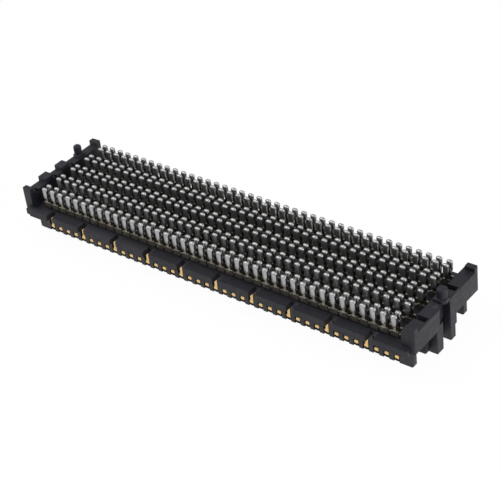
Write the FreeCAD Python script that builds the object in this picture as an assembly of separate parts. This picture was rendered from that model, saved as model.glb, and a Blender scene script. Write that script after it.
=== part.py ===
import FreeCAD
import Part
import os

# Open pin field board to board connector, shown with its board side up.
# Five ribs carry back to back pairs of contact rows on the mating side.
# X runs along the rows, Y across them, Z from the mating side to the board.
# Origin: middle of the contact field and the footprint, at the foot of the keys.
# All sizes are in millimetres.

# Contact field
columns = 40
rib_count = 5
column_pitch = 1.27
rib_pitch = 2.54

# Base plate of the housing
plate_thickness = 0.7
plate_margin = 1.61
end_margin = 0.96
plate_side_inset = 0.55
plate_corner = 0.12

# Ribs, with a web between the back to back strips
rib_height = 2.7
rib_overhang = 2.05
rib_web = 0.2
rib_thickness = 0.72
rib_end_chamfer = 0.12

# Room round the strips in the comb and in the long recesses
comb_clearance = 0.01
recess_margin = 0.08

# Window notches in the long sides, one for every few contacts
window_spacing = 4
window_first_column = 1
window_shift = 0.27
window_width = 0.9
window_depth = 1.27

# End walls, corner posts and pads on the board side
left_room = 1.685
right_room = 1.335
left_wall = 1.25
right_wall = 1.6
wall_height = 1.9
wall_corner = 0.1
post_rise = 0.6
post_length = 1.25
post_depth = 0.7
pad_length = 1.35
pad_centres = (-2.95, -0.05)
left_notch_centres = (-5.2, -1.8, 1.2)
left_notch_width = 0.35
left_notch_depth = 0.5
left_notch_height = 0.4
right_notch_centres = (-3.55, 2.4)
right_notch_width = 0.75
right_notch_depth = 1.35
right_notch_height = 0.8

# Locating pegs
small_peg_inset = 0.5
small_peg_y = 3.1
small_peg_diameter = 0.98
large_peg_inset = 0.7
large_peg_y = 0.25
large_peg_diameter = 1.18
peg_length = 1.2
peg_lead_in = 0.2
peg_pad_rise = 0.3
peg_pad_margin = 0.17
peg_pad_depth = 0.5

# Guide keys under both ends, with a keyway between the two bars
key_drop = 0.25
key_depth = 1.1
key_bar_front = 1.2
key_bar_rear = 1.25
keyway_width = 1.5
keyway_centre = -0.13
keyway_depth = 0.85
keyway_mouth = 0.6
keyway_mouth_height = 2.0
key_step_height = 1.6
key_step = 0.3

# Terminals: flat stamped strips, each with its back against a web
strip_thickness = 0.16
tip_height = 0.3
tip_width = 0.48
shoulder_rise = 0.9
shoulder_width = 0.75
tail_length = 1.7

# Solder charges on the tails
charge_rise = 0.4
charge_foot_width = 0.34
charge_foot_depth = 0.1
charge_top_width = 0.6
charge_top_depth = 0.34
charge_cap = 0.15

# Places along X and Y, worked out from the contact field outwards
column_centres = [column_pitch * (n - (columns - 1) / 2) for n in range(columns)]
rib_centres = [rib_pitch * (n - (rib_count - 1) / 2) for n in range(rib_count)]
last_column = column_centres[-1]
half_web = rib_web / 2
half_thickness = rib_thickness / 2
strip_outside = half_web + strip_thickness
half_rib = last_column + rib_overhang
half_plate = rib_centres[-1] + half_thickness + plate_margin
half_end = rib_centres[-1] + half_thickness + end_margin
left_inner = -last_column - left_room
left_outer = left_inner - left_wall
right_inner = last_column + right_room
right_outer = right_inner + right_wall

# Heights, worked out from the foot of the keys upwards
mating_face = key_drop
plate_bottom = mating_face + rib_height
plate_top = plate_bottom + plate_thickness
tip_foot = mating_face + tip_height
wall_top = plate_top + wall_height
post_top = wall_top + post_rise
peg_pad_top = wall_top + peg_pad_rise
peg_top = peg_pad_top + peg_length
shoulder_height = plate_top + shoulder_rise
tail_height = shoulder_height + tail_length
charge_bottom = shoulder_height + charge_rise
charge_top = tail_height + charge_cap

# Slots of the comb, as wide as the tapered strip is at the top of the plate
strip_taper = (shoulder_width - tip_width) / (shoulder_height - tip_foot)
strip_width_in_plate = tip_width + strip_taper * (plate_top - tip_foot)
comb_slot_width = strip_width_in_plate + 2 * comb_clearance


def block(x0, x1, y0, y1, z0, z1):
    """A rectangular block between two corners."""
    return Part.makeBox(x1 - x0, y1 - y0, z1 - z0, FreeCAD.Vector(x0, y0, z0))


def prism(points, direction):
    """A polygon of points pushed along a direction."""
    corners = [FreeCAD.Vector(*p) for p in points]
    return Part.Face(Part.makePolygon(corners + corners[:1])).extrude(FreeCAD.Vector(*direction))


def chamfered_plate(x0, x1, y0, y1, z0, z1, corner):
    """A flat plate whose four upright corners are cut off."""
    points = [
        (x0 + corner, y0, z0), (x1 - corner, y0, z0),
        (x1, y0 + corner, z0), (x1, y1 - corner, z0),
        (x1 - corner, y1, z0), (x0 + corner, y1, z0),
        (x0, y1 - corner, z0), (x0, y0 + corner, z0),
    ]
    return prism(points, (0, 0, z1 - z0))


def base_plate():
    """The plate that all rows pass through, wider between its two ends."""
    ends = chamfered_plate(left_outer, right_outer, -half_end, half_end,
                           plate_bottom, plate_top, wall_corner)
    middle = chamfered_plate(left_outer + plate_side_inset, right_outer - plate_side_inset,
                             -half_plate, half_plate, plate_bottom, plate_top, plate_corner)
    return ends.fuse(middle)


def rib(centre):
    """One full-thickness rib, with its lower end corners cut off."""
    low = centre - half_thickness
    c = rib_end_chamfer
    outline = [
        (-half_rib + c, low, mating_face), (half_rib - c, low, mating_face),
        (half_rib, low, mating_face + c), (half_rib, low, plate_bottom),
        (-half_rib, low, plate_bottom), (-half_rib, low, mating_face + c),
    ]
    return prism(outline, (0, rib_thickness, 0))


def rib_face_cut(centre, side, x0, x1):
    """A cut from one face of a rib down to its web, on through the plate."""
    face = centre + side * half_thickness
    web = centre + side * half_web
    return block(x0, x1, min(face, web), max(face, web), mating_face, plate_top)


def comb(centre, side):
    """A slot for each terminal in a rib face that shows from outside."""
    half_slot = comb_slot_width / 2
    return [rib_face_cut(centre, side, x - half_slot, x + half_slot) for x in column_centres]


def long_recess(centre, side):
    """One recess for a whole row, in a rib face that looks at another rib."""
    reach = last_column + shoulder_width / 2 + recess_margin
    return [rib_face_cut(centre, side, -reach, reach)]


def strip_cuts():
    """The cuts that hold all the rows."""
    cuts = []
    for n, centre in enumerate(rib_centres):
        cuts += comb(centre, -1) if n == 0 else long_recess(centre, -1)
        cuts += comb(centre, 1) if n == rib_count - 1 else long_recess(centre, 1)
    return cuts


def window_notches():
    """Open notches along both long edges of the plate."""
    notches = []
    for column in range(window_first_column, columns, window_spacing):
        x = column_centres[column] + window_shift
        for side in (-1, 1):
            inner = side * (half_plate - window_depth)
            outer = side * half_plate
            middle = -side * x
            notches.append(block(middle - window_width / 2, middle + window_width / 2,
                                 min(inner, outer), max(inner, outer), plate_bottom, plate_top))
    return notches


def end_walls():
    """Low walls at both ends with a post at every corner."""
    pieces = []
    for x0, x1 in ((left_outer, left_inner), (right_inner, right_outer)):
        pieces.append(block(x0, x1, -half_end, half_end, plate_top, wall_top))
    for x0, x1 in ((left_outer, left_outer + post_length), (right_outer - post_length, right_outer)):
        pieces.append(block(x0, x1, -half_end, -half_end + post_depth, wall_top, post_top))
        pieces.append(block(x0, x1, half_end - post_depth, half_end, wall_top, post_top))
    for y in pad_centres:
        pieces.append(block(left_outer, left_inner, y - pad_length / 2, y + pad_length / 2,
                            wall_top, post_top))
    walls = pieces[0].fuse(pieces[1:])
    frame = chamfered_plate(left_outer, right_outer, -half_end, half_end,
                            plate_top, post_top, wall_corner)
    return walls.common(frame)


def wall_notches():
    """Small notches in the inner edges of the end walls."""
    notches = []
    for y in left_notch_centres:
        notches.append(block(left_inner - left_notch_depth, left_inner,
                             y - left_notch_width / 2, y + left_notch_width / 2,
                             wall_top - left_notch_height, wall_top))
    for y in right_notch_centres:
        notches.append(block(right_inner, right_inner + right_notch_depth,
                             y - right_notch_width / 2, y + right_notch_width / 2,
                             wall_top - right_notch_height, wall_top))
    return notches


def peg(x, y, diameter, inwards):
    """A round locating peg with a lead-in, on a pad that runs inwards from it."""
    radius = diameter / 2
    pad_radius = radius + peg_pad_margin
    foot = peg_pad_top - peg_pad_depth
    pad = Part.makeCylinder(pad_radius, peg_pad_depth, FreeCAD.Vector(x, y, foot))
    tongue = block(min(x, x + inwards * pad_radius), max(x, x + inwards * pad_radius),
                   y - pad_radius, y + pad_radius, wall_top, peg_pad_top)
    room = block(left_outer, right_outer, -half_end, half_end, plate_top, peg_top)
    cone_foot = peg_top - peg_lead_in
    pin = Part.makeCylinder(radius, cone_foot - peg_pad_top, FreeCAD.Vector(x, y, peg_pad_top))
    nose = Part.makeCone(radius, radius - peg_lead_in, peg_lead_in, FreeCAD.Vector(x, y, cone_foot))
    return pad.fuse(tongue).common(room).fuse([pin, nose])


def guide_key(end, inwards):
    """Two bars under one end, flush with it, that guide the mating part."""
    inner = end + inwards * key_depth
    x0 = min(inner, end)
    x1 = max(inner, end)
    gap0 = keyway_centre - keyway_width / 2
    gap1 = keyway_centre + keyway_width / 2
    rear = gap1 + key_bar_rear
    front_bar = block(x0, x1, gap0 - key_bar_front, gap0, 0, plate_bottom)
    rear_bar = block(x0, x1, gap1, rear - key_step, 0, plate_bottom)
    shoulder = block(x0, x1, rear - key_step, rear, key_step_height, plate_bottom)
    return front_bar.fuse([rear_bar, shoulder])


def keyway():
    """The groove that runs up the outside of the right end, wider at its mouth."""
    gap0 = keyway_centre - keyway_width / 2
    gap1 = keyway_centre + keyway_width / 2
    inner = right_outer - keyway_depth
    groove = block(inner, right_outer, gap0, gap1, plate_bottom, wall_top)
    mouth = block(inner, right_outer, gap0 - keyway_mouth, gap0, wall_top - keyway_mouth_height, wall_top)
    return groove.fuse(mouth)


def housing():
    """The one-piece moulded housing."""
    body = base_plate()
    ribs = [rib(centre) for centre in rib_centres]
    body = body.fuse(ribs + [end_walls(), guide_key(left_outer, 1), guide_key(right_outer, -1)])
    body = body.cut(strip_cuts() + window_notches() + wall_notches() + [keyway()])
    body = body.fuse([peg(left_outer + small_peg_inset, small_peg_y, small_peg_diameter, 1),
                      peg(right_outer - large_peg_inset, large_peg_y, large_peg_diameter, -1)])
    return body.removeSplitter()


def terminal(centre, side):
    """One stamped terminal: mating end, shoulders and a pointed solder tail."""
    inner = centre + side * half_web
    outline = [
        (-tip_width / 2, inner, tip_foot), (tip_width / 2, inner, tip_foot),
        (shoulder_width / 2, inner, shoulder_height), (0, inner, tail_height),
        (-shoulder_width / 2, inner, shoulder_height),
    ]
    return prism(outline, (0, side * strip_thickness, 0))


def solder_charge(centre, side):
    """One solder charge on the outer face of a tail, wider and deeper towards its top."""
    foot = charge_foot_width / 2
    top = charge_top_width / 2
    wedge = Part.makeWedge(-foot, 0, 0, 0, -top,
                           foot, charge_top - charge_bottom, charge_foot_depth, charge_top_depth, top)
    origin = FreeCAD.Vector(0, 0, 0)
    wedge.rotate(origin, FreeCAD.Vector(1, 0, 0), 90)
    if side > 0:
        wedge.rotate(origin, FreeCAD.Vector(0, 0, 1), 180)
    wedge.translate(FreeCAD.Vector(0, centre + side * strip_outside, charge_bottom))
    return wedge


def along_row(piece):
    """Copies of one piece at every column of a row."""
    copies = []
    for x in column_centres:
        copy = piece.copy()
        copy.translate(FreeCAD.Vector(x, 0, 0))
        copies.append(copy)
    return Part.makeCompound(copies)


os.makedirs("parts", exist_ok=True)
housing().exportStep("parts/housing.step")
row = 0
for centre in rib_centres:
    for side in (-1, 1):
        row += 1
        along_row(terminal(centre, side)).exportStep("parts/terminals_row_%02d.step" % row)
        along_row(solder_charge(centre, side)).exportStep("parts/solder_charges_row_%02d.step" % row)
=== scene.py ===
import math
import random
import bpy
from mathutils import Matrix, Vector


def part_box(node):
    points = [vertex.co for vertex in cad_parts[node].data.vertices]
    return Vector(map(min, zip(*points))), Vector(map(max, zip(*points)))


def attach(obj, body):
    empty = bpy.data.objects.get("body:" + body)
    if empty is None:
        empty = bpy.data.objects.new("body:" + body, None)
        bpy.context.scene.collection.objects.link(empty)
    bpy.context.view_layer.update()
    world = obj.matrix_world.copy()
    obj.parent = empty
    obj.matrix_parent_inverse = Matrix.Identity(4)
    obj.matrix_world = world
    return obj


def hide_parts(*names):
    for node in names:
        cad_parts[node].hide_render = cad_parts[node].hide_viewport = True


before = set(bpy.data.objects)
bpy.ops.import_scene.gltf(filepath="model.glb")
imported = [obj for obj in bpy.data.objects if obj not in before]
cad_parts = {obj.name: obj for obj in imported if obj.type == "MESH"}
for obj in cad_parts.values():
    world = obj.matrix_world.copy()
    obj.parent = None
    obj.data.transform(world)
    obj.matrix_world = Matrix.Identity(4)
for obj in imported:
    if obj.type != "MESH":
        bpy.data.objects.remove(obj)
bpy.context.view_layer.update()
print("frame loaded:", len(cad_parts), "nodes")

mm = 0.001


# The contact field, and the ribs and plate that carry it

fieldSettings = {
    "rows": 10,
    "columns": 40,
    "shoulderWidth": 0.75 * mm,  # of a CAD strip, so a row's box ends half of this past its last column
    "ribFace": 0.26 * mm,  # from a rib's web face out to its outer face
    "ribFoot": 0.25 * mm,  # the height of the ribs' mating face
    "plateTop": 3.65 * mm,
}


def rowPlaces(row):
    # where one row's contacts stand: their middles along X, the web face that their backs touch,
    # and the side that they look to
    low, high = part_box("terminals_row_%02d" % row)
    chargeLow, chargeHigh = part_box("solder_charges_row_%02d" % row)
    first = low[0] + fieldSettings["shoulderWidth"] / 2
    last = high[0] - fieldSettings["shoulderWidth"] / 2
    pitch = (last - first) / (fieldSettings["columns"] - 1)
    outwards = 1 if (chargeLow[1] + chargeHigh[1]) > (low[1] + high[1]) else -1
    back = low[1] if outwards > 0 else high[1]
    columns = [first + pitch * number for number in range(fieldSettings["columns"])]
    return columns, back, outwards


def outwardTurn(outwards):
    # turns a pattern that looks along +Y to the side that its row looks to
    return Matrix.Rotation(0 if outwards > 0 else math.pi, 4, "Z")


# Small helpers for modelling

modelSettings = {
    "mergeDistance": 0.0005 * mm,
    "blockAngle": 30,  # edges sharper than this stay sharp on small blocks
}


def deselectAll():
    bpy.ops.object.select_all(action="DESELECT")


def makeActive(piece):
    # makes the piece the active object and the only selected one
    deselectAll()
    piece.select_set(True)
    bpy.context.view_layer.objects.active = piece


def joinPieces(pieces):
    # joins the pieces into the first one
    deselectAll()
    for piece in pieces:
        piece.select_set(True)
    bpy.context.view_layer.objects.active = pieces[0]
    bpy.ops.object.join()
    return bpy.context.object


def startPiece(name, addPrimitive, **settings):
    # adds one primitive, names it and opens it in edit mode with all of it selected
    deselectAll()
    addPrimitive(**settings)
    piece = bpy.context.object
    piece.name = name
    piece.data.name = name
    bpy.ops.object.transform_apply(location=True, rotation=True, scale=True)
    bpy.ops.object.mode_set(mode="EDIT")
    bpy.ops.mesh.select_all(action="SELECT")
    return piece


def finishPiece(piece, smoothAngle):
    # merges doubles, points the faces outwards and leaves edit mode
    bpy.ops.mesh.select_all(action="SELECT")
    bpy.ops.mesh.remove_doubles(threshold=modelSettings["mergeDistance"])
    bpy.ops.mesh.normals_make_consistent(inside=False)
    bpy.ops.object.mode_set(mode="OBJECT")
    makeActive(piece)
    bpy.ops.object.shade_smooth_by_angle(angle=math.radians(smoothAngle))


def chamferedBlock(name, size, middle, chamfer):
    # a block with all its edges cut off
    block = startPiece(name, bpy.ops.mesh.primitive_cube_add, size=1, location=middle)
    bpy.ops.transform.resize(value=size, center_override=middle)
    bpy.ops.mesh.bevel(offset=chamfer, segments=1, affect="EDGES")
    finishPiece(block, modelSettings["blockAngle"])
    return block


def startStation(name, station):
    # a flat rectangle of the first station's size, open in edit mode
    height, width, back, thickness = station
    middle = (0, back + thickness / 2, height)
    piece = startPiece(name, bpy.ops.mesh.primitive_plane_add, size=1, location=middle)
    bpy.ops.transform.resize(value=(width, thickness, 1), center_override=middle)
    return piece


def liftStations(stations):
    # draws the selected face up from station to station
    height, width, back, thickness = stations[0]
    middle = back + thickness / 2
    for nextHeight, nextWidth, nextBack, nextThickness in stations[1:]:
        nextMiddle = nextBack + nextThickness / 2
        bpy.ops.mesh.extrude_region_move(TRANSFORM_OT_translate={
            "value": (0, nextMiddle - middle, nextHeight - height)})
        bpy.ops.transform.resize(value=(nextWidth / width, nextThickness / thickness, 1),
                                 center_override=(0, nextMiddle, nextHeight))
        height, width, middle, thickness = nextHeight, nextWidth, nextMiddle, nextThickness


def liftedPart(name, sizes, smoothAngle, corner=None):
    # a bar drawn up through stations that are given in millimetres; its four upright corners are cut off
    # where corner gives a share in percent
    stations = [[value * mm for value in station] for station in sizes]
    piece = startStation(name, stations[0])
    if corner:
        bpy.ops.mesh.bevel(offset_type="PERCENT", offset_pct=corner, affect="VERTICES")
        bpy.ops.mesh.select_all(action="SELECT")
    liftStations(stations)
    finishPiece(piece, smoothAngle)
    return piece


def copyAlong(pattern, name, places):
    # one copy of the pattern at each place, every copy with its own mesh, joined into one piece
    copies = []
    for place in places:
        copy = pattern.copy()
        copy.data = pattern.data.copy()
        copy.data.transform(place)
        bpy.context.collection.objects.link(copy)
        copies.append(copy)
    piece = joinPieces(copies)
    piece.name = name
    piece.data.name = name
    return piece


def rideAs(piece, slotName, *nodes):
    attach(piece, "root")
    if nodes:
        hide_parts(*nodes)


# Shader maths


class Value:
    # a node socket that can be used in plain arithmetic
    def __init__(self, shader, socket):
        self.shader = shader
        self.socket = socket

    def maths(self, operation, first, second):
        return self.shader.add("ShaderNodeMath", {"operation": operation}, {0: first, 1: second})

    def __add__(self, other):
        return self.maths("ADD", self, other)

    def __radd__(self, other):
        return self.maths("ADD", other, self)

    def __sub__(self, other):
        return self.maths("SUBTRACT", self, other)

    def __rsub__(self, other):
        return self.maths("SUBTRACT", other, self)

    def __mul__(self, other):
        return self.maths("MULTIPLY", self, other)

    def __rmul__(self, other):
        return self.maths("MULTIPLY", other, self)


class Shader:
    # the nodes of one material or of the world, with a method that adds any node as a Value
    def __init__(self, owner, surfaceNode):
        owner.use_nodes = True
        self.owner = owner
        self.tree = owner.node_tree
        self.surface = self.tree.nodes[surfaceNode]

    def add(self, kind, settings, values, output=0):
        node = self.tree.nodes.new(kind)
        for key, setting in settings.items():
            if key == "stops":
                self.setStops(node.color_ramp, setting)
            else:
                setattr(node, key, setting)
        self.fill(node, values)
        return Value(self, node.outputs[output])

    def fill(self, node, values):
        # links a Value to its socket, and writes anything else into it
        for key, value in values.items():
            if isinstance(value, Value):
                self.tree.links.new(value.socket, node.inputs[key])
            else:
                node.inputs[key].default_value = value

    def setStops(self, ramp, stops):
        while len(ramp.elements) < len(stops):
            ramp.elements.new(0.5)
        for element, (position, colour) in zip(ramp.elements, stops):
            element.position = position
            element.color = (*colour, 1)

    def height(self):
        place = self.add("ShaderNodeTexCoord", {}, {}, "Object")
        return self.add("ShaderNodeSeparateXYZ", {}, {0: place}, "Z")

    def noise(self, size, detail, stretch=(1, 1, 1), offset=(0, 0, 0)):
        # size is the width of one blotch in metres
        place = self.add("ShaderNodeTexCoord", {}, {}, "Object")
        scale = [1 / (size * share) for share in stretch]
        where = self.add("ShaderNodeMapping", {}, {"Vector": place, "Scale": scale, "Location": offset})
        return self.add("ShaderNodeTexNoise", {}, {"Vector": where, "Scale": 1.0, "Detail": detail})

    def ramp(self, factor, stops):
        return self.add("ShaderNodeValToRGB", {"stops": stops}, {0: factor})

    def spread(self, value, low, high, newLow, newHigh):
        return self.add("ShaderNodeMapRange", {"clamp": True}, {
            "Value": value, "From Min": low, "From Max": high, "To Min": newLow, "To Max": newHigh})

    def mix(self, factor, first, second, blend="MIX"):
        # 6 and 7 are the two colours that go into a Mix node, and 2 is the one that comes out
        return self.add("ShaderNodeMix", {"data_type": "RGBA", "blend_type": blend},
                        {0: factor, 6: first, 7: second}, 2)

    def bump(self, height, strength, distance):
        return self.add("ShaderNodeBump", {}, {"Height": height, "Strength": strength, "Distance": distance})

    def showThrough(self, factor, other, outputNode):
        # the other shader shows where the factor is 1, and the surface's own where it is 0
        own = Value(self, self.surface.outputs[0])
        mixed = self.add("ShaderNodeMixShader", {}, {0: factor, 1: own, 2: other})
        self.fill(self.tree.nodes[outputNode], {"Surface": mixed})


def newMaterial(name):
    return Shader(bpy.data.materials.new(name), "Principled BSDF")


# Materials

plasticSettings = {
    "flow": {"size": 1.6 * mm, "detail": 4.0, "stretch": (4, 1, 1)},
    "flowColours": [(0.3, (0.0064, 0.0066, 0.0112)), (0.7, (0.0104, 0.0108, 0.0172))],
    "patches": {"size": 0.6 * mm, "detail": 3.0, "offset": (5, 2, 1)},
    "dustColour": (0.018, 0.019, 0.028, 1),
    "dustRange": (0.55, 0.8),
    "dustShare": 0.4,
    "roughness": (0.46, 0.62),
    "specular": 0.38,
    "grain": {"size": 0.07 * mm, "detail": 2.0},
    "grainStrength": 0.25,
}

contactMetalSettings = {
    # the finishes follow the height as a share of this one, and their borders wander a little
    "fullHeight": 6.4 * mm,
    "wander": 0.06 * mm,
    "colours": [
        (0.0, (0.80, 0.56, 0.25)),  # gold at the mating end
        (0.42, (0.74, 0.50, 0.22)),
        (0.52, (0.065, 0.058, 0.048)),  # dull dark nickel through the plate
        (0.680, (0.08, 0.072, 0.058)),
        (0.686, (0.50, 0.46, 0.38)),  # painted highlight: a bright band along the upper ledge of the shoulders
        (0.692, (0.50, 0.46, 0.38)),
        (0.70, (0.16, 0.14, 0.115)),  # a warm neck below the solder
        (0.78, (0.20, 0.19, 0.17)),
        (0.83, (0.32, 0.32, 0.32)),
        (1.0, (0.36, 0.36, 0.37)),
    ],
    "plating": [
        (0.0, (1, 1, 1)),
        (0.45, (1, 1, 1)),
        (0.54, (0.3, 0.3, 0.3)),
        (0.680, (0.3, 0.3, 0.3)),
        # the painted highlight band on the shoulders' ledge turns fully metallic here, and so does the tin
        # above it
        (0.686, (1, 1, 1)),
    ],
    "blotches": {"size": 0.5 * mm, "detail": 3.0},
    "roughness": (0.25, 0.42),
    "scratches": {"size": 0.05 * mm, "detail": 2.0, "stretch": (1, 1, 8)},
    "scratchColour": (0.9, 0.85, 0.75, 1),
    "scratchShare": 0.35,
    "scratchStrength": 0.15,
}

solderSettings = {
    "streaks": {"size": 0.06 * mm, "detail": 3.0, "stretch": (1, 1, 7)},
    "streakColours": [(0.25, (0.34, 0.34, 0.345)), (0.7, (0.55, 0.55, 0.55))],
    "streakStrength": 0.2,
    "blotches": {"size": 0.4 * mm, "detail": 3.0, "offset": (3, 0, 0)},
    "blotchColour": (0.75, 0.76, 0.78, 1),
    "blotchShare": 0.3,
    "roughness": (0.36, 0.48),
}

finishSettings = {
    "noiseRange": (0.3, 0.7),  # the values that a noise mostly has
    "bumpDepth": 0.01 * mm,
}


def blackPlastic():
    # moulded plastic with a fine grain, faint flow marks along the part and a few dull patches
    look = plasticSettings
    shader = newMaterial("blackPlastic")
    base = shader.ramp(shader.noise(**look["flow"]), look["flowColours"])
    patches = shader.noise(**look["patches"])
    dust = shader.spread(patches, *look["dustRange"], 0.0, look["dustShare"])
    grain = shader.noise(**look["grain"])
    shader.fill(shader.surface, {
        "Base Color": shader.mix(dust, base, look["dustColour"]),
        "Roughness": shader.spread(patches, *finishSettings["noiseRange"], *look["roughness"]),
        "Specular IOR Level": look["specular"],
        "Normal": shader.bump(grain, look["grainStrength"], finishSettings["bumpDepth"])})
    return shader.owner


def contactMetal():
    # a strip that is gold, then nickel, then tinned towards the top, with fine upright scratches and a
    # painted highlight band along the upper ledge of the shoulders
    look = contactMetalSettings
    shader = newMaterial("contactMetal")
    blotches = shader.noise(**look["blotches"])
    scratches = shader.noise(**look["scratches"])
    height = shader.height() + (blotches - 0.5) * look["wander"]
    along = shader.spread(height, 0.0, look["fullHeight"], 0.0, 1.0)
    colour = shader.ramp(along, look["colours"])
    shader.fill(shader.surface, {
        "Base Color": shader.mix(scratches * look["scratchShare"], colour, look["scratchColour"], "MULTIPLY"),
        "Metallic": shader.ramp(along, look["plating"]),
        "Roughness": shader.spread(blotches, *finishSettings["noiseRange"], *look["roughness"]),
        "Normal": shader.bump(scratches, look["scratchStrength"], finishSettings["bumpDepth"])})
    return shader.owner


def tinSolder():
    # satin grey tin, drawn out in fine upright streaks
    look = solderSettings
    shader = newMaterial("tinSolder")
    streaks = shader.noise(**look["streaks"])
    blotches = shader.noise(**look["blotches"])
    colour = shader.ramp(streaks, look["streakColours"])
    shader.fill(shader.surface, {
        "Base Color": shader.mix(blotches * look["blotchShare"], colour, look["blotchColour"], "MULTIPLY"),
        "Metallic": 1.0,
        "Roughness": shader.spread(blotches, *finishSettings["noiseRange"], *look["roughness"]),
        "Normal": shader.bump(streaks, look["streakStrength"], finishSettings["bumpDepth"])})
    return shader.owner


# Terminals

terminalSettings = {
    # height, width, distance of the back from the web, and thickness, in millimetres
    "stripStations": [
        (0.55, 0.24, 0.040, 0.08),  # tip
        (0.62, 0.42, 0.040, 0.13),
        (0.74, 0.50, 0.050, 0.16),
        (0.88, 0.50, 0.050, 0.15),
        (1.02, 0.40, 0.030, 0.12),
        (1.14, 0.34, 0.000, 0.10),  # beam
        (2.60, 0.38, 0.000, 0.10),
        (2.90, 0.60, 0.000, 0.14),  # seat in the plate
        (3.60, 0.66, 0.000, 0.15),
        (3.70, 0.92, 0.200, 0.15),  # shoulders
        (4.40, 0.94, 0.200, 0.15),
        (4.42, 0.34, 0.200, 0.14),  # neck
        (5.08, 0.30, 0.110, 0.14),
        (5.16, 0.44, 0.090, 0.17),  # knob
        (5.32, 0.44, 0.090, 0.17),
        (5.40, 0.30, 0.110, 0.13),
    ],
    "stripAngle": 40,
    # the rounded paddle above the knob
    "paddleStations": [
        (5.36, 0.30, 0.110, 0.12),
        (5.50, 0.56, 0.060, 0.18),
        (5.95, 0.62, 0.050, 0.19),
        (6.20, 0.54, 0.070, 0.16),
        (6.26, 0.38, 0.100, 0.12),
    ],
    "paddleAngle": 60,
    "paddleCorner": 34,
}


def terminalPattern():
    # a stamped strip that looks along +Y, with its back against the web from the beam to the top of the plate
    strip = liftedPart("terminalPattern", terminalSettings["stripStations"], terminalSettings["stripAngle"])
    paddle = liftedPart("paddlePattern", terminalSettings["paddleStations"], terminalSettings["paddleAngle"],
                        terminalSettings["paddleCorner"])
    return joinPieces([strip, paddle])


# Solder charges

chargeSettings = {
    # height, width, distance of the back from the web, and depth, in millimetres
    "stations": [
        (5.00, 0.46, 0.26, 0.24),
        (5.08, 0.57, 0.22, 0.30),
        (5.50, 0.62, 0.19, 0.34),
        (6.00, 0.64, 0.17, 0.36),
        (6.08, 0.69, 0.07, 0.46),  # from here the solder closes over the tail
        (6.24, 0.69, 0.07, 0.45),
        (6.34, 0.62, 0.10, 0.39),
        (6.40, 0.46, 0.17, 0.24),
    ],
    "smoothAngle": 60,
    "cornerShare": 24,
    # each charge leans a little to one side, by up to this many degrees, about a point in the neck
    "lean": 1.2,
    "pivot": 4.55 * mm,
    "seed": 11,
}


def chargePattern():
    # a lump of solder with rounded corners in front of the tail, which closes over the tail's end like a cap
    return liftedPart("chargePattern", chargeSettings["stations"], chargeSettings["smoothAngle"],
                      chargeSettings["cornerShare"])


def chargeSway(chance):
    pivot = Vector((0, 0, chargeSettings["pivot"]))
    angle = math.radians(chance.uniform(-chargeSettings["lean"], chargeSettings["lean"]))
    return Matrix.Translation(pivot) @ Matrix.Rotation(angle, 4, "Y") @ Matrix.Translation(-pivot)


def contactPlaces(row):
    # a turn and a move for each contact of a row
    columns, back, outwards = rowPlaces(row)
    return [Matrix.Translation((x, back, 0)) @ outwardTurn(outwards) for x in columns]


def buildContacts():
    terminal = terminalPattern()
    charge = chargePattern()
    terminal.data.materials.append(contactMetal())
    charge.data.materials.append(tinSolder())
    chance = random.Random(chargeSettings["seed"])
    for row in range(1, fieldSettings["rows"] + 1):
        places = contactPlaces(row)
        terminals = copyAlong(terminal, "terminalRow%02d" % row, places)
        rideAs(terminals, "contact", "terminals_row_%02d" % row)
        charges = copyAlong(charge, "solderRow%02d" % row, [place @ chargeSway(chance) for place in places])
        rideAs(charges, "solder", "solder_charges_row_%02d" % row)
    bpy.data.objects.remove(terminal)
    bpy.data.objects.remove(charge)


buildContacts()
print("contacts built")


# Housing

shellSettings = {
    "flatAngle": 0.5,  # facets of the CAD mesh that meet flatter than this are one face
    # a narrow groove runs along the foot of both outer rows
    "grooveWidth": 0.16 * mm,
    "grooveDepth": 0.12 * mm,
    "grooveReach": 25.3 * mm,  # from the middle of the part to its ends
    "grooveOverlap": 0.01 * mm,  # how far the cutter starts inside the rib
    # edges past the end of the comb, and the upper ones along the sides of the plate, are rounded
    "fieldEnd": 25.6 * mm,
    "sideBand": 0.05 * mm,
    "edgeAngle": 30,
    "edgeRadius": 0.045 * mm,
    "edgeSegments": 2,
    "smoothAngle": 20,
}


def copyHousing():
    # a merged copy of the CAD housing, with its flat faces whole again
    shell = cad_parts["housing"].copy()
    shell.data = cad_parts["housing"].data.copy()
    bpy.context.collection.objects.link(shell)
    shell.name = "housingShell"
    shell.data.name = "housingShell"
    for key in list(shell.keys()):  # the marks of a CAD node stay with the node
        del shell[key]
    makeActive(shell)
    bpy.ops.object.mode_set(mode="EDIT")
    bpy.ops.mesh.select_all(action="SELECT")
    bpy.ops.mesh.remove_doubles(threshold=modelSettings["mergeDistance"])
    bpy.ops.mesh.dissolve_limited(angle_limit=math.radians(shellSettings["flatAngle"]))
    bpy.ops.object.mode_set(mode="OBJECT")
    return shell


def cutGroove(shell, row):
    # takes the groove out of the plate in front of one outer row
    back, outwards = rowPlaces(row)[1:]
    inner = back + outwards * (fieldSettings["ribFace"] - shellSettings["grooveOverlap"])
    width = shellSettings["grooveWidth"]
    middle = (0, inner + outwards * width / 2, fieldSettings["plateTop"])
    deselectAll()
    bpy.ops.mesh.primitive_cube_add(size=1, location=middle)
    cutter = bpy.context.object
    cutter.scale = (2 * shellSettings["grooveReach"], width, 2 * shellSettings["grooveDepth"])
    bpy.ops.object.transform_apply(location=True, rotation=True, scale=True)
    makeActive(shell)
    groove = shell.modifiers.new("groove", "BOOLEAN")
    groove.operation = "DIFFERENCE"
    groove.solver = "EXACT"
    groove.object = cutter
    bpy.ops.object.modifier_apply(modifier="groove")
    bpy.data.objects.remove(cutter)


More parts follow.
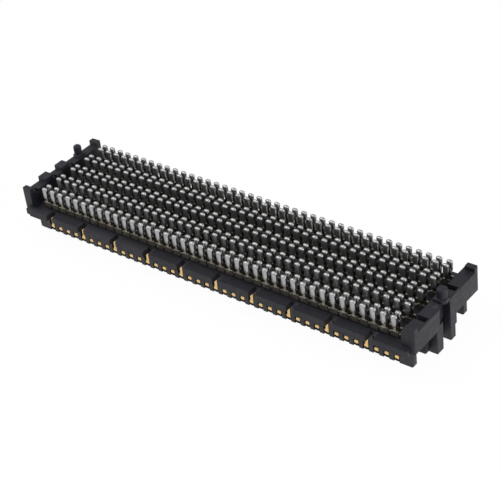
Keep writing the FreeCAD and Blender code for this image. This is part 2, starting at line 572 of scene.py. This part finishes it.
def facesOnEdges(mesh):
    faces = {}
    for polygon in mesh.polygons:
        for key in polygon.edge_keys:
            faces.setdefault(key, []).append(polygon)
    return faces


def isOuterCorner(start, pair):
    # whether two faces meet in a sharp edge that stands out; start is one end of the edge
    angle = pair[0].normal.angle(pair[1].normal)
    rise = (pair[0].center - start).dot(pair[1].normal)
    return angle > math.radians(shellSettings["edgeAngle"]) and rise < 0


def roundEdges(shell):
    # rounds the outer corners of the end walls, posts, pads, pegs and keys, and the upper long edges
    # of the plate; the shell is left open in edit mode
    mesh = shell.data
    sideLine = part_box("housing")[1][1] - shellSettings["sideBand"]
    topLine = fieldSettings["plateTop"] - shellSettings["sideBand"]
    faces = facesOnEdges(mesh)
    for element in [*mesh.vertices, *mesh.polygons]:
        element.select = False
    for edge in mesh.edges:
        start, stop = [mesh.vertices[number].co for number in edge.vertices]
        nearer = min(abs(start.x), abs(stop.x))
        atEnd = nearer > shellSettings["fieldEnd"] and start.x * stop.x > 0
        atSide = min(abs(start.y), abs(stop.y)) > sideLine and min(start.z, stop.z) > topLine
        pair = faces.get(edge.key, [])
        edge.select = len(pair) == 2 and (atEnd or atSide) and isOuterCorner(start, pair)
    bpy.ops.object.mode_set(mode="EDIT")
    bpy.context.tool_settings.mesh_select_mode = (False, True, False)
    bpy.ops.mesh.bevel(offset=shellSettings["edgeRadius"], segments=shellSettings["edgeSegments"],
                       affect="EDGES", clamp_overlap=False, loop_slide=False)


def keepInside(shell):
    # the corners where three rounded edges meet are held inside the box of the CAD housing
    low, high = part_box("housing")
    for vertex in shell.data.vertices:
        for axis in range(3):
            vertex.co[axis] = min(max(vertex.co[axis], low[axis]), high[axis])


def buildHousing(plastic):
    shell = copyHousing()
    for row in (1, fieldSettings["rows"]):
        cutGroove(shell, row)
    roundEdges(shell)
    finishPiece(shell, shellSettings["smoothAngle"])
    keepInside(shell)
    shell.data.materials.clear()
    shell.data.materials.append(plastic)
    rideAs(shell, "housing", "housing")


# Comb teeth of the inner rows

toothSettings = {
    "slotWidth": 0.71 * mm,  # the gap that two teeth leave for a contact
    "chamfer": 0.08 * mm,
}


def toothPattern(pitch):
    # a tooth that stands between two terminals, from the foot of the rib to the top of the plate
    foot = fieldSettings["ribFoot"]
    depth = fieldSettings["ribFace"]
    height = fieldSettings["plateTop"] - foot
    return chamferedBlock("toothPattern", (pitch - toothSettings["slotWidth"], depth, height),
                          (0, depth / 2, foot + height / 2), toothSettings["chamfer"])


def buildInnerCombs(plastic):
    columns = rowPlaces(2)[0]
    pitch = columns[1] - columns[0]
    tooth = toothPattern(pitch)
    tooth.data.materials.append(plastic)
    for row in range(2, fieldSettings["rows"]):
        columns, back, outwards = rowPlaces(row)
        places = [Matrix.Translation((x + pitch / 2, back, 0)) @ outwardTurn(outwards) for x in columns[:-1]]
        rideAs(copyAlong(tooth, "innerComb%02d" % row, places), "housing")
    bpy.data.objects.remove(tooth)


# Lips under the contact tips

lipSettings = {
    "width": 0.70 * mm,
    "depth": 0.20 * mm,
    "top": 0.54 * mm,
    "chamfer": 0.12 * mm,
}


def lipPattern():
    # a small bar that closes the foot of one slot and keeps the contact's tip
    foot = fieldSettings["ribFoot"]
    depth = lipSettings["depth"]
    return chamferedBlock("lipPattern", (lipSettings["width"], depth, lipSettings["top"] - foot),
                          (0, depth / 2, (foot + lipSettings["top"]) / 2), lipSettings["chamfer"])


def buildLips(plastic):
    lip = lipPattern()
    lip.data.materials.append(plastic)
    for row in range(1, fieldSettings["rows"] + 1):
        rideAs(copyAlong(lip, "tipLips%02d" % row, contactPlaces(row)), "housing")
    bpy.data.objects.remove(lip)


# Aprons under the long edges of the plate

apronSettings = {
    "top": 2.96 * mm,
    "bottom": 2.76 * mm,
    "thickness": 0.15 * mm,
    "end": 26.6 * mm,
    # the windows of the plate stay open
    "firstWindow": 1,
    "windowSpacing": 4,
    "windowShift": 0.27 * mm,
    "windowWidth": 1.50 * mm,
}


def apronSpans(side):
    # where each wall between two windows starts and stops along X, on the front, -1, or the rear, 1
    columns = rowPlaces(1)[0]
    windows = columns[apronSettings["firstWindow"]::apronSettings["windowSpacing"]]
    middles = sorted(-side * (x + apronSettings["windowShift"]) for x in windows)
    half = apronSettings["windowWidth"] / 2
    starts = [-apronSettings["end"]] + [x + half for x in middles]
    stops = [x - half for x in middles] + [apronSettings["end"]]
    return zip(starts, stops)


def buildAprons(plastic):
    # short walls between the windows, flush with the sides of the plate
    height = apronSettings["top"] - apronSettings["bottom"]
    thickness = apronSettings["thickness"]
    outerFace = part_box("housing")[1][1]
    for side, name in ((-1, "apronFront"), (1, "apronRear")):
        wall = startPiece("apronPattern", bpy.ops.mesh.primitive_cube_add, size=1, location=(0, 0, 0))
        finishPiece(wall, modelSettings["blockAngle"])
        wall.data.materials.append(plastic)
        y = side * (outerFace - thickness / 2)
        places = [Matrix.Translation(((start + stop) / 2, y, apronSettings["top"] - height / 2))
                  @ Matrix.Diagonal((stop - start, thickness, height, 1))
                  for start, stop in apronSpans(side)]
        rideAs(copyAlong(wall, name, places), "housing")
        bpy.data.objects.remove(wall)


housingPlastic = blackPlastic()
buildHousing(housingPlastic)
buildInnerCombs(housingPlastic)
buildLips(housingPlastic)
buildAprons(housingPlastic)
print("housing built")


# Floor, light and camera

stageSettings = {
    "floorSize": 1.2,
    "floorColour": (0.9, 0.9, 0.9, 1),
    "floorRoughness": 0.9,
    # how much of the plain white shows in place of the lit floor, to the camera and in reflections
    "whiteness": 0.97,
    "glow": 1.0,
    # the world's light on the part, and the pale grey that the camera sees of it
    "worldColour": (1, 1, 1, 1),
    "worldLevel": 0.55,
    "skyColour": (0.8, 0.8, 0.8, 1),
}


def whiteFloor():
    deselectAll()
    bpy.ops.mesh.primitive_plane_add(size=stageSettings["floorSize"], location=(0, 0, 0))
    floor = bpy.context.object
    floor.name = "floor"
    shader = newMaterial("floorWhite")
    shader.fill(shader.surface, {
        "Base Color": stageSettings["floorColour"], "Roughness": stageSettings["floorRoughness"]})
    glow = shader.add("ShaderNodeEmission", {}, {"Strength": stageSettings["glow"]})
    cameraRay = shader.add("ShaderNodeLightPath", {}, {}, "Is Camera Ray")
    glossyRay = shader.add("ShaderNodeLightPath", {}, {}, "Is Glossy Ray")
    shader.showThrough((cameraRay + glossyRay) * stageSettings["whiteness"], glow, "Material Output")
    floor.data.materials.append(shader.owner)


def paleWorld():
    world = bpy.data.worlds.new("studio")
    bpy.context.scene.world = world
    shader = Shader(world, "Background")
    shader.fill(shader.surface, {
        "Color": stageSettings["worldColour"], "Strength": stageSettings["worldLevel"]})
    sky = shader.add("ShaderNodeBackground", {}, {"Color": stageSettings["skyColour"]})
    cameraRay = shader.add("ShaderNodeLightPath", {}, {}, "Is Camera Ray")
    shader.showThrough(cameraRay, sky, "World Output")


lampSettings = {
    # place, size and power of each soft lamp, in metres and watts
    "keyLamp": {"place": (-0.16, -0.04, 0.34), "size": 0.22, "power": 0.6},
    "sideLamp": {"place": (0.30, 0.02, 0.10), "size": 0.20, "power": 0.6},
    "leftLamp": {"place": (-0.14, -0.06, 0.08), "size": 0.10, "power": 0.03},
}

lampTarget = Vector((0, 0, 3 * mm))


def addLamps():
    for name, lamp in lampSettings.items():
        place = Vector(lamp["place"])
        light = bpy.data.lights.new(name, "AREA")
        light.size = lamp["size"]
        light.energy = lamp["power"]
        holder = bpy.data.objects.new(name, light)
        holder.location = place
        holder.rotation_euler = (lampTarget - place).to_track_quat("-Z", "Y").to_euler()
        bpy.context.collection.objects.link(holder)


cameraSettings = {
    "place": (92.86 * mm, -103.70 * mm, 100.92 * mm),
    "azimuth": 41.30,
    "elevation": 35.24,
    "roll": -7.22,
    "lens": 107.1,  # for a sensor of the next width, both in millimetres
    "sensorWidth": 36,
    "nearest": 0.005,
    "farthest": 5,
}


def addCamera():
    optics = bpy.data.cameras.new("camera")
    optics.lens = cameraSettings["lens"]
    optics.sensor_width = cameraSettings["sensorWidth"]
    optics.clip_start = cameraSettings["nearest"]
    optics.clip_end = cameraSettings["farthest"]
    camera = bpy.data.objects.new("camera", optics)
    bpy.context.collection.objects.link(camera)
    camera.matrix_world = (
        Matrix.Translation(cameraSettings["place"])
        @ Matrix.Rotation(math.radians(cameraSettings["azimuth"]), 4, "Z")
        @ Matrix.Rotation(math.radians(90 - cameraSettings["elevation"]), 4, "X")
        @ Matrix.Rotation(math.radians(cameraSettings["roll"]), 4, "Z"))
    bpy.context.scene.camera = camera


whiteFloor()
paleWorld()
addLamps()
addCamera()
bpy.context.scene.view_settings.view_transform = "Standard"
print("stage set")
